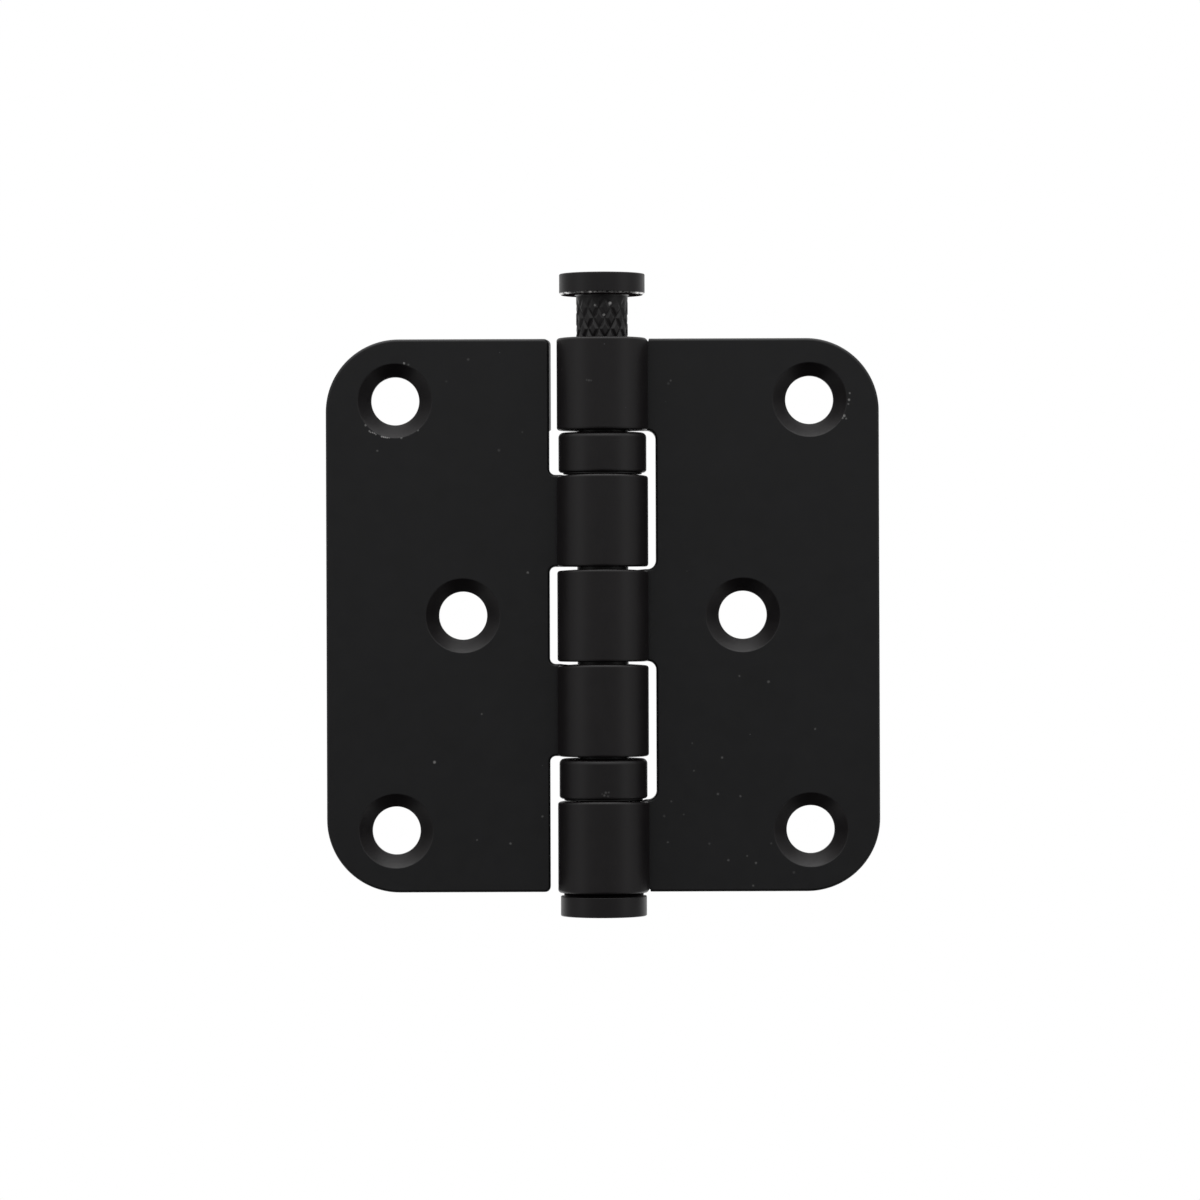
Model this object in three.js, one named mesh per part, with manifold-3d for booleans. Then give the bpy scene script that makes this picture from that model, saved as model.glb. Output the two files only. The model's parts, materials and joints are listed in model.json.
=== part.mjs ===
// A ball-bearing butt hinge for a door: two pressed leaves turning on a loose pin, lying open and flat,
// with the pin part of the way out.
//
// Millimetres. +Z runs up the pin, +X points across the fixed leaf and -Y is the front, where the screw
// heads sit. The origin is on the back of the fixed leaf, midway between its two outer screw holes.

import * as THREE from "three";
import { mergeVertices } from "three/addons/utils/BufferGeometryUtils.js";
import Module from "manifold-3d";

const wasm = await Module();
wasm.setup();

// Leaves
const leafHeight = 76;
const leafWidth = 38; // from the pin's axis to the outer edge
const sheet = 2.65; // thickness of the steel
const closedGap = 1.5; // between the two front faces when the hinge is shut
const cornerRadius = 10;
const freeCornerRadius = 0.75; // where a leaf's bare inner edge meets its top or bottom
const fixedRootRadius = 1.2; // in the corners of the fixed leaf's cut-outs
const swingRootRadius = 0.8;
const cutOutClearance = 1.05; // from the barrel to the edge of a cut-out

// The roll that makes a knuckle out of the sheet
const rollExit = 40; // degrees past the back of the barrel, where the sheet leaves it
const bendInside = 0.475; // inner radius of the bend that brings the sheet level again
const seam = 0.2; // from the rolled end to the leaf's front face

// Screw holes
const holeRadius = 3.3;
const countersinkRadius = 5.1; // at the front face
const countersinkAngle = 90;
const holeFromEdge = 9.5; // outer holes, from the leaf's outer edge
const holeFromEnd = 8.45; // outer holes, from the leaf's top and bottom
const holeStagger = 9.25; // how much nearer the pin the middle hole is

// Gaps along the barrel
const knuckleGap = 0.35; // between two knuckles
const bearingGap = 0.3; // between a bearing and the knuckle at either end

// Pin
const pinRadius = 3.5;
const pinPlay = 0.1; // from the shaft to the bore of a knuckle
const pinLift = 5.9; // how far the pin stands out of its seat
const headRadius = 5.87;
const headHeight = 2.9;
const headChamfer = 0.3;
const headTopChamfer = 0.15;
const neckLength = 1; // plain part under the head
const knurlLength = 9.5;
const knurlPlay = 0.06; // from the crests of the knurl to the bore
const pinEndChamfer = 0.6;
const pinEndGap = 1; // from the seated pin to the bottom tip

// Bottom tip
const tipStemLength = 3;
const tipPlay = 0.1; // from the stem to the bore
const tipGap = 0.05; // under the bottom knuckle
const collarRadius = 5.45;
const collarHeight = 0.4;
const buttonRadius = 5.9;
const buttonHeight = 2.75;
const buttonChamfer = 0.3;

// Ball bearings
const bearingHeight = 5.425;
const racePinPlay = 0.25; // from a race's bore to the shaft
const raceWidth = 1.84; // from a race's bore to its rim
const raceLip = 0.3; // how far the bottom race shows under the sleeve
const lipStep = 0.19; // how much narrower the bottom race is there
const sleeveWall = 0.38;
const sleeveCorner = 0.7; // outer radius at the sleeve's flange; its open end is rolled in to the bottom race
const bearingPlay = 0.06; // between the sleeve and the races in it
const ballRadius = 0.794;
const ballPlay = 0.04; // from a ball to its groove
const grooveDepth = 0.35;
const ballCount = 15;

// Worked out from the values above
const boreRadius = pinRadius + pinPlay;
const barrelRadius = boreRadius + sheet;
const leafFront = closedGap / 2;
const leafBack = leafFront + sheet;
const cutOutEdge = barrelRadius + cutOutClearance;
const leafEnd = leafHeight / 2;
const outerHole = leafWidth - holeFromEdge;
const holeRise = leafEnd - holeFromEnd;
const bearingSpace = bearingHeight + 2 * bearingGap;
const knuckleLength = (leafHeight - 2 * bearingSpace - 2 * knuckleGap) / 5;
const raceBore = pinRadius + racePinPlay;
const raceRadius = raceBore + raceWidth;
const sleeveBore = raceRadius + bearingPlay;
const sleeveRadius = sleeveBore + sleeveWall;

const turnedSides = 40; // flats round a turned piece
const rollStep = 7.5; // degrees between the points of a knuckle's curve
const holeSides = 32;
const past = 1; // how far a cutting shape runs beyond what it cuts
const beyondBarrel = barrelRadius + past;

// The five knuckles from the top down; the fixed leaf has the first, third and fifth.
const knuckles = [];
let nextTop = leafEnd;
for (const spaceBelow of [bearingSpace, knuckleGap, knuckleGap, bearingSpace, 0]) {
  knuckles.push({ top: nextTop, bottom: nextTop - knuckleLength });
  nextTop -= knuckleLength + spaceBelow;
}
const fixedKnuckles = knuckles.filter((_, i) => i % 2 === 0);
const swingKnuckles = knuckles.filter((_, i) => i % 2 === 1);

const radians = THREE.MathUtils.degToRad;

// Points along an arc, both ends included. Angles are in degrees, and a falling angle runs clockwise.
function arc(x, y, radius, from, to, step = 15) {
  const curve = new THREE.EllipseCurve(x, y, radius, radius, radians(from), radians(to), to < from);
  return curve.getPoints(Math.ceil(Math.abs(to - from) / step));
}

function pointAt(radius, angle) {
  return new THREE.Vector2(radius * Math.cos(radians(angle)), radius * Math.sin(radians(angle)));
}

// A closed outline through corners given as [x, y, radius]. A radius of 0 leaves a corner sharp.
function roundedOutline(corners, step) {
  const points = corners.map(([x, y]) => new THREE.Vector2(x, y));
  return points.flatMap((corner, i) => {
    const radius = corners[i][2];
    if (radius === 0) {
      return [corner];
    }
    const back = points.at(i - 1).clone().sub(corner).normalize();
    const on = points[(i + 1) % points.length].clone().sub(corner).normalize();
    const half = Math.acos(back.dot(on)) / 2;
    const centre = back.clone().add(on).setLength(radius / Math.sin(half)).add(corner);
    const reach = radius / Math.tan(half);
    const start = back.multiplyScalar(reach).add(corner).sub(centre).angle();
    const end = on.multiplyScalar(reach).add(corner).sub(centre).angle();
    const turn = Math.atan2(Math.sin(end - start), Math.cos(end - start));
    const degrees = THREE.MathUtils.radToDeg;
    return arc(centre.x, centre.y, radius, degrees(start), degrees(start + turn), step);
  });
}

// Manifold solids and three.js geometries, each way
function solidOf(geometry) {
  const bare = geometry.clone();
  bare.deleteAttribute("normal");
  bare.deleteAttribute("uv");
  const merged = mergeVertices(bare);
  return new wasm.Manifold(
    new wasm.Mesh({
      numProp: 3,
      vertProperties: merged.attributes.position.array,
      triVerts: new Uint32Array(merged.index.array),
    }),
  );
}

function geometryOf(solid) {
  const mesh = solid.getMesh();
  const geometry = new THREE.BufferGeometry();
  geometry.setAttribute("position", new THREE.BufferAttribute(mesh.vertProperties, 3));
  geometry.setIndex(new THREE.BufferAttribute(mesh.triVerts, 1));
  const faceted = geometry.toNonIndexed();
  faceted.computeVertexNormals();
  return faceted;
}

// A piece turned about the pin's axis, from a profile of [radius, z] that starts and ends on the axis.
function turned(profile) {
  const points = profile.map(([radius, z]) => new THREE.Vector2(radius, z));
  return new THREE.LatheGeometry(points, turnedSides).rotateX(Math.PI / 2);
}

// The same for a ring, whose profile closes on itself.
function turnedRing(profile) {
  return turned([...profile, profile[0]]);
}

// The points of an arc in such a profile
function profileArc(...values) {
  return arc(...values).map((point) => point.toArray());
}

// A leaf seen along the pin, with its plate towards +X: along the front, round the bore, out across the
// rolled end, and back round the outside of the barrel to the back of the plate.
function rolledSection() {
  const exit = 90 - rollExit;
  const rollMiddle = boreRadius + sheet / 2;
  const plateMiddle = leafFront + sheet / 2;
  const bendMiddle = bendInside + sheet / 2;
  const slope = radians(rollExit);
  const leaving = pointAt(rollMiddle, exit);
  const slopeDrop = leaving.y - plateMiddle - bendMiddle * (1 - Math.cos(slope));
  const bendX = leaving.x + slopeDrop / Math.tan(slope) + bendMiddle * Math.sin(slope);
  const bendY = plateMiddle + bendMiddle;
  const rolledEnd = 360 + THREE.MathUtils.radToDeg(Math.asin((leafFront - seam) / barrelRadius));
  return new THREE.Shape([
    new THREE.Vector2(leafWidth, leafFront),
    ...arc(bendX, bendY, bendInside + sheet, -90, -90 - rollExit),
    ...arc(0, 0, boreRadius, exit, rolledEnd, rollStep),
    ...arc(0, 0, barrelRadius, rolledEnd, exit, rollStep),
    ...arc(bendX, bendY, bendInside, -90 - rollExit, -90),
    new THREE.Vector2(leafWidth, leafBack),
  ]);
}

// The blank of a leaf seen from the front, with its knuckles towards -X.
function blankOutline(ownKnuckles, rootRadius) {
  const atEnd = (z) => Math.abs(z) > leafEnd - knuckleGap;
  const innerEdge = [...ownKnuckles].reverse().flatMap(({ bottom, top }) => [
    [cutOutEdge, bottom, rootRadius],
    [-beyondBarrel, bottom, 0],
    [-beyondBarrel, top, 0],
    [cutOutEdge, top, rootRadius],
  ]);
  const kept = innerEdge.filter(([x, z]) => !(x === cutOutEdge && atEnd(z)));
  const hasEndKnuckles = kept.length < innerEdge.length;
  const freeCorner = (z) => (hasEndKnuckles ? [] : [[cutOutEdge, z, freeCornerRadius]]);
  const corners = [
    [leafWidth, leafEnd, cornerRadius],
    [leafWidth, -leafEnd, cornerRadius],
    ...freeCorner(-leafEnd),
    ...kept,
    ...freeCorner(leafEnd),
  ];
  return new THREE.Shape(roundedOutline(corners, 11.25));
}

// What a drill and a countersink take out of a leaf.
function screwHole(x, z) {
  const coneDepth = (countersinkRadius - holeRadius) / Math.tan(radians(countersinkAngle / 2));
  const coneSlope = (countersinkRadius - holeRadius) / coneDepth;
  const profile = [
    [0, leafFront - past],
    [countersinkRadius + past * coneSlope, leafFront - past],
    [holeRadius, leafFront + coneDepth],
    [holeRadius, leafBack + past],
    [0, leafBack + past],
  ];
  const points = profile.map(([radius, y]) => new THREE.Vector2(radius, y));
  return solidOf(new THREE.LatheGeometry(points, holeSides).translate(x, 0, z));
}

function leaf(ownKnuckles, rootRadius) {
  const sections = new THREE.ExtrudeGeometry(rolledSection(), { depth: leafHeight, bevelEnabled: false });
  const blank = new THREE.ExtrudeGeometry(blankOutline(ownKnuckles, rootRadius), {
    depth: 2 * beyondBarrel,
    bevelEnabled: false,
  });
  sections.translate(0, 0, -leafEnd);
  blank.translate(0, 0, -beyondBarrel).rotateX(Math.PI / 2);
  let solid = solidOf(sections).intersect(solidOf(blank));
  const holes = [
    [outerHole, holeRise],
    [outerHole - holeStagger, 0],
    [outerHole, -holeRise],
  ];
  for (const [x, z] of holes) {
    solid = solid.subtract(screwHole(x, z));
  }
  return geometryOf(solid);
}

function pin() {
  const underHead = leafEnd + pinLift;
  const top = underHead + headHeight;
  const end = pinLift - leafEnd + tipStemLength + pinEndGap;
  const knurlTop = underHead - neckLength;
  const knurlBottom = knurlTop - knurlLength;
  const knurlRadius = boreRadius - knurlPlay;
  return turned([
    [0, end],
    [pinRadius - pinEndChamfer, end],
    [pinRadius, end + pinEndChamfer],
    [pinRadius, knurlBottom],
    [knurlRadius, knurlBottom],
    [knurlRadius, knurlTop],
    [pinRadius, knurlTop],
    [pinRadius, underHead],
    [headRadius - headChamfer, underHead],
    [headRadius, underHead + headChamfer],
    [headRadius, top - headTopChamfer],
    [headRadius - headTopChamfer, top],
    [0, top],
  ]);
}

function bottomTip() {
  const top = -leafEnd - tipGap;
  const collarBottom = top - collarHeight;
  const bottom = collarBottom - buttonHeight;
  const stemRadius = boreRadius - tipPlay;
  return turned([
    [0, bottom],
    [buttonRadius - buttonChamfer, bottom],
    [buttonRadius, bottom + buttonChamfer],
    [buttonRadius, collarBottom],
    [collarRadius, collarBottom],
    [collarRadius, top],
    [stemRadius, top],
    [stemRadius, -leafEnd + tipStemLength],
    [0, -leafEnd + tipStemLength],
  ]);
}

// A bearing fills the space under one knuckle: a drawn sleeve, a race under its flange and another in its
// open end, and a full ring of balls between them.
function bearing(name, knuckleAbove) {
  const top = knuckleAbove.bottom - bearingGap;
  const bottom = top - bearingHeight;
  const sleeveBottom = bottom + raceLip;
  const flangeUnder = top - sleeveWall;
  const topRaceTop = flangeUnder - bearingPlay;
  const lipRadius = raceRadius - lipStep;
  const rolledBore = lipRadius + bearingPlay;
  const rolledCorner = sleeveRadius - rolledBore;
  const shoulder = sleeveBottom + sleeveWall + bearingPlay;
  const pitchRadius = raceBore + raceWidth / 2;
  const grooveRadius = ballRadius + ballPlay;
  const ballsZ = (topRaceTop + bottom) / 2;
  const faceRise = grooveRadius - grooveDepth; // from the balls' middle to a race's face
  const grooveEdge = THREE.MathUtils.radToDeg(Math.asin(faceRise / grooveRadius));
  const groove = (from, to) => profileArc(pitchRadius, ballsZ, grooveRadius, from, to, 20);

  const sleeve = turnedRing([
    [raceBore, top],
    [raceBore, flangeUnder],
    [sleeveBore, flangeUnder],
    [sleeveBore, sleeveBottom + sleeveWall],
    [rolledBore, sleeveBottom + sleeveWall],
    ...profileArc(rolledBore, sleeveBottom + rolledCorner, rolledCorner, -90, 0, 30),
    ...profileArc(sleeveRadius - sleeveCorner, top - sleeveCorner, sleeveCorner, 0, 90, 30),
  ]);
  const topRace = turnedRing([
    [raceBore, topRaceTop],
    [raceBore, ballsZ + faceRise],
    ...groove(180 - grooveEdge, grooveEdge),
    [raceRadius, ballsZ + faceRise],
    [raceRadius, topRaceTop],
  ]);
  const bottomRace = turnedRing([
    [raceBore, bottom],
    [lipRadius, bottom],
    [lipRadius, shoulder],
    [raceRadius, shoulder],
    [raceRadius, ballsZ - faceRise],
    ...groove(-grooveEdge, grooveEdge - 180),
    [raceBore, ballsZ - faceRise],
  ]);

  const pieces = new THREE.Group();
  pieces.add(
    piece(`${name}_bearing_sleeve`, sleeve, coatedSteel()),
    piece(`${name}_bearing_top_race`, topRace, bareSteel()),
    piece(`${name}_bearing_bottom_race`, bottomRace, coatedSteel()),
  );
  for (let i = 0; i < ballCount; i += 1) {
    const number = String(i + 1).padStart(2, "0");
    const ball = piece(
      `${name}_bearing_ball_${number}`,
      new THREE.SphereGeometry(ballRadius, 10, 6),
      bareSteel(),
    );
    const place = pointAt(pitchRadius, (360 * i) / ballCount);
    ball.position.set(place.x, place.y, ballsZ);
    pieces.add(ball);
  }
  return pieces;
}

function coatedSteel() {
  return new THREE.MeshStandardMaterial({ color: "#202021", roughness: 0.5, metalness: 0.2 });
}

function bareSteel() {
  return new THREE.MeshStandardMaterial({ color: "#a4a5a8", roughness: 0.25, metalness: 1 });
}

function piece(name, geometry, material) {
  const mesh = new THREE.Mesh(geometry, material);
  mesh.name = name;
  return mesh;
}

// The whole hinge about the pin's axis. The swinging leaf is the same pressing turned end for end.
const aboutPin = new THREE.Group();
aboutPin.add(
  piece("fixed_leaf", leaf(fixedKnuckles, fixedRootRadius), coatedSteel()),
  piece("swing_leaf", leaf(swingKnuckles, swingRootRadius).rotateY(Math.PI), coatedSteel()),
  piece("hinge_pin", pin(), coatedSteel()),
  piece("bottom_tip", bottomTip(), coatedSteel()),
  bearing("upper", knuckles[0]),
  bearing("lower", knuckles[3]),
);
aboutPin.position.set(-outerHole, -leafBack, 0);

const hinge = new THREE.Group();
hinge.add(aboutPin);

export default hinge;
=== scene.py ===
"""A black ball-bearing butt hinge for a door, open and flat, with its loose pin drawn part of the way out.

Meshes are made in millimetres about the pin's axis, with the leaf's plate towards +X and its front towards
-Y, and placed in the frame's metres at the end.
"""

import json
from math import asin, atan2, cos, degrees, floor, hypot, pi, radians, sin

import bmesh
import bpy
from mathutils import Matrix, Vector


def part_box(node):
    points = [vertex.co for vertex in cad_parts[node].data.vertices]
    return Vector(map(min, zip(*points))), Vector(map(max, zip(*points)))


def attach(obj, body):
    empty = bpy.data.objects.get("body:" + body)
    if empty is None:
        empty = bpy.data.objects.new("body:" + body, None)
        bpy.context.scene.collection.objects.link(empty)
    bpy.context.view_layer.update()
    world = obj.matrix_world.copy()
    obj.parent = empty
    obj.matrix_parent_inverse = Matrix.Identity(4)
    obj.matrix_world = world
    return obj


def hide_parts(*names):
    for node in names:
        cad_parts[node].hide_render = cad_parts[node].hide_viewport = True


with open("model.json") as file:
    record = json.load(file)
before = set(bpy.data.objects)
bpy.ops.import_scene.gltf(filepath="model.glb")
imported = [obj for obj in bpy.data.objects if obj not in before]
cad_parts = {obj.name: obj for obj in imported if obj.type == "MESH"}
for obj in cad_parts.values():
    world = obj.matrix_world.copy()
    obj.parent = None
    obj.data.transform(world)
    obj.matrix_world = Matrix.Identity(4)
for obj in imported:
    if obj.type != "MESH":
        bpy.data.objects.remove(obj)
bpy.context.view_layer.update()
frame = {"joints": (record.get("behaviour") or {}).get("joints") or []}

MM = 0.001
PIN_AXIS = Vector(next(j for j in frame["joints"] if j["name"] == "leaf_swing")["pos_m"])
PLACE = Matrix.Translation(PIN_AXIS) @ Matrix.Scale(MM, 4)


def box_mm(node):
    """A node's lowest and highest corners in millimetres about the pin's axis."""
    return [(corner - PIN_AXIS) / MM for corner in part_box(node)]


leaf_low, leaf_high = box_mm("fixed_leaf")
pin_low, pin_high = box_mm("hinge_pin")
tip_low, tip_high = box_mm("bottom_tip")

# Leaves, in millimetres
HALF_HEIGHT = leaf_high.z
LEAF_WIDTH = leaf_high.x
BARREL_RADIUS = -leaf_low.y
SHEET = 2.65
BORE_RADIUS = BARREL_RADIUS - SHEET
BACK_Y = -PIN_AXIS.y / MM
FRONT_Y = BACK_Y - SHEET
MIDDLE_Y = (BACK_Y + FRONT_Y) / 2
CUT_OUT_CLEARANCE = 1.05
CUT_OUT_EDGE = BARREL_RADIUS + CUT_OUT_CLEARANCE
CORNER_RADIUS = 10
FREE_CORNER_RADIUS = 0.75
FIXED_ROOT_RADIUS = 1.2
SWING_ROOT_RADIUS = 0.8
SHEAR_SLOPE = 0.26  # of the edge beside the top knuckle, from the leaf's front to its back
SHEAR_FADE = 0.2
RIM_ROUND = 0.38
HOLE_RIM_ROUND = 0.08
HOLE_RADIUS = 3.3
COUNTERSINK_RADIUS = 5.1
HOLE_X = -PIN_AXIS.x / MM
HOLE_TO_END = 8.45
HOLE_Z = HALF_HEIGHT - HOLE_TO_END
HOLE_STAGGER = 9.25

# The roll of a knuckle
ROLL_EXIT = radians(40)
BEND_INSIDE = 0.475
SEAM = 0.2
ROLL_RADIUS = BORE_RADIUS + SHEET / 2
BEND_RADIUS = BEND_INSIDE + SHEET / 2
SLOPE_DROP = ROLL_RADIUS * cos(ROLL_EXIT) - MIDDLE_Y - BEND_RADIUS * (1 - cos(ROLL_EXIT))
SLOPE_LENGTH = SLOPE_DROP / sin(ROLL_EXIT)
BEND_LENGTH = BEND_RADIUS * ROLL_EXIT
ROLL_START_X = (ROLL_RADIUS + BEND_RADIUS) * sin(ROLL_EXIT) + SLOPE_LENGTH * cos(ROLL_EXIT)
ROLL_TURN = radians(270) + ROLL_EXIT + asin((FRONT_Y - SEAM) / BARREL_RADIUS)
BEND_DIP = 0.26
BEND_DIP_AT = 0.35  # along the sheet from the roll line
PLATE_DIP_REACH = 0.95
PLATE_DIP_SHARES = (1, 0.67, 0.33)  # of that reach, where the plate's edge gets a vertex to dip
ROLL_DIP_REACH = 5.0
ROLL_END_DIP = 0.2
ROLL_END_REACH = 1.8
KNUCKLE_SADDLE = 0.2
BEND_STEPS, SLOPE_STEPS, ROLL_STEPS = 8, 3, 84
CORNER_STEPS, ROOT_STEPS, FREE_CORNER_STEPS, HOLE_STEPS = 32, 8, 6, 96
RIM_STEPS, HOLE_RIM_STEPS = 4, 2

# Along the barrel
KNUCKLE_GAP = 0.35
BEARING_GAP = 0.3
BEARING_HEIGHT = 5.425
BEARING_SPACE = BEARING_HEIGHT + 2 * BEARING_GAP
KNUCKLE_LENGTH = (2 * HALF_HEIGHT - 2 * BEARING_SPACE - 2 * KNUCKLE_GAP) / 5

# Pin and tip
PIN_RADIUS = 3.5
KNURL_RADIUS = 3.54
KNURL_LENGTH = 9.5
NECK_LENGTH = 1.0
HEAD_RADIUS = pin_high.x
HEAD_HEIGHT = 2.9
HEAD_CHAMFER = 0.3
CHAMFER_EASE = 0.05
PIN_END_CHAMFER = 0.6
KNURL_COUNT = 13
KNURL_PITCH = 2.9
KNURL_DEPTH = 0.27
KNURL_FLAT = 0.5  # share of a diamond's half width that stays flat
KNURL_FADE = 2.2  # up to its top
KNURL_FOOT_FADE = 0.4
KNURL_START = 0.4  # below the head
KNURL_STEP = 0.05  # between the plain pin and the knurl's crests
NECK_FILLET = 0.2
HEAD_TOP_ROUND = 0.15
KNURL_SEGMENTS = 28 * KNURL_COUNT
KNURL_ROWS = 110
TIP_STEM_RADIUS = 3.5
COLLAR_RADIUS = 5.45
COLLAR_HEIGHT = 0.4
BUTTON_RADIUS = 5.9
BUTTON_FOOT_ROUND = 0.16
BUTTON_TOP_ROUND = 0.12
TIP_GAP = 0.05  # between the collar and the bottom knuckle
TIP_STEM_CHAMFER = 0.3
ROUND_SEGMENTS = 160

# Bearings
RACE_BORE = 3.75
RACE_RADIUS = 5.59
RACE_LIP = 0.3
LIP_RADIUS = 5.4
SLEEVE_RADIUS = 6.03
SLEEVE_WALL = 0.38
SLEEVE_CORNER = 0.7
SLEEVE_DROP = 0.06  # of its lower edge below the bearing's nominal under side
ROLLED_CORNER = 0.42
RACE_FOOT = 0.28  # of the lower race below that under side, down to the knuckle that carries it
RACE_FOOT_ROUND = 0.08
BEARING_PLAY = 0.06
BALL_RADIUS = 0.794
BALL_PLAY = 0.04
BALL_COUNT = 15
BALL_CIRCLE = (RACE_BORE + RACE_RADIUS) / 2
GROOVE_RADIUS = BALL_RADIUS + BALL_PLAY
GROOVE_DEPTH = 0.35
GROOVE_FACE = GROOVE_RADIUS - GROOVE_DEPTH  # from the balls' middle to the race's face
GROOVE_EDGE = degrees(asin(GROOVE_FACE / GROOVE_RADIUS))
GROOVE_STEPS = 14

# Where a piece's further finishes stand in its list
COUNTERSINK_SLOT, ROLLED_SLOT = 1, 2
# On the pin, the head's underside is painted shade, and its chamfer carries painted glints among worn
# patches
SHADED_UNDERSIDE_SLOT, CHAMFER_SLOT = 1, 2

SAME = 1e-4  # two places closer than this are the same


def knuckle_spans():
    """(bottom, top) of the five knuckles, from the top down."""
    spans, top = [], HALF_HEIGHT
    for space_below in (BEARING_SPACE, KNUCKLE_GAP, KNUCKLE_GAP, BEARING_SPACE, 0):
        spans.append((top - KNUCKLE_LENGTH, top))
        top -= KNUCKLE_LENGTH + space_below
    return spans


SPANS = knuckle_spans()
SHEAR_END = SPANS[0][0]


# Mesh helpers


def lies_on_plate(face):
    """Whether a face is part of a plate's flat front or back."""
    return any(all(abs(vert.co.y - y) < SAME for vert in face.verts) for y in (FRONT_Y, BACK_Y))


def even_normals(bm):
    """Each vertex's normal: square to a plate it lies on, or else weighted by its faces' areas."""
    weighted = {face: face.normal * face.calc_area() for face in bm.faces}
    on_plate = {face for face in bm.faces if lies_on_plate(face)}
    normals = []
    for vert in bm.verts:
        flat = [face for face in vert.link_faces if face in on_plate]
        normals.append(sum((weighted[face] for face in flat or vert.link_faces), Vector()).normalized())
    return normals


def finish_piece(name, bm, body, slot, nodes, *materials):
    """Turns a mesh in millimetres into a shaded piece that rides on a body and stands for CAD nodes."""
    bmesh.ops.remove_doubles(bm, verts=bm.verts, dist=SAME)
    bmesh.ops.recalc_face_normals(bm, faces=bm.faces)
    normals = even_normals(bm)
    bmesh.ops.transform(bm, matrix=PLACE, verts=bm.verts)
    for face in bm.faces:
        face.smooth = True
    mesh = bpy.data.meshes.new(name)
    bm.to_mesh(mesh)
    bm.free()
    mesh.normals_split_custom_set_from_vertices(normals)
    piece = bpy.data.objects.new(name, mesh)
    bpy.context.collection.objects.link(piece)
    for material in materials:
        mesh.materials.append(material)
    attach(piece, body)
    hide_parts(*nodes)


def ease(bm, geom, width, segments, affect="EDGES"):
    """Rounds edges, or the corners of an outline."""
    bmesh.ops.bevel(
        bm,
        geom=geom,
        offset=width,
        offset_type="OFFSET",
        segments=segments,
        profile=0.5,
        affect=affect,
        clamp_overlap=False,
        material=-1,
    )


def only(geom, kind):
    return [item for item in geom if isinstance(item, kind)]


def spun(profile, closed=False, segments=ROUND_SEGMENTS):
    """A turned piece from (radius, z) points; a ring's profile is closed."""
    bm = bmesh.new()
    verts = [bm.verts.new((radius, 0, z)) for radius, z in profile]
    edges = [bm.edges.new(pair) for pair in zip(verts, verts[1:])]
    if closed:
        edges.append(bm.edges.new((verts[-1], verts[0])))
    bmesh.ops.spin(
        bm, geom=verts + edges, cent=(0, 0, 0), axis=(0, 0, 1), angle=2 * pi, steps=segments, use_merge=True
    )
    bmesh.ops.remove_doubles(bm, verts=bm.verts, dist=SAME)
    bmesh.ops.recalc_face_normals(bm, faces=bm.faces)
    return bm


def sharp_edges(bm, angle=radians(25)):
    return [e for e in bm.edges if e.is_manifold and e.calc_face_angle(0) > angle]


def arc_points(x, y, radius, start, end, steps):
    """Points of an arc, both ends included; angles in degrees."""
    turns = [radians(start + (end - start) * i / steps) for i in range(steps + 1)]
    return [(x + radius * cos(turn), y + radius * sin(turn)) for turn in turns]


def chamfer_points(start, end):
    """A chamfer from a level face up to an upright one, with a point before and after each corner."""
    (x0, z0), (x1, z1) = start, end
    length = hypot(x1 - x0, z1 - z0)
    along = ((x1 - x0) / length * CHAMFER_EASE, (z1 - z0) / length * CHAMFER_EASE)
    return [
        (x0 - CHAMFER_EASE, z0),
        (x0 + along[0], z0 + along[1]),
        (x1 - along[0], z1 - along[1]),
        (x1, z1 + CHAMFER_EASE),
    ]


# Leaves


def hole_places():
    """(x, z) of the three screw holes; the middle one stands nearer the pin."""
    return [(HOLE_X, HOLE_Z), (HOLE_X - HOLE_STAGGER, 0), (HOLE_X, -HOLE_Z)]


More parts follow.
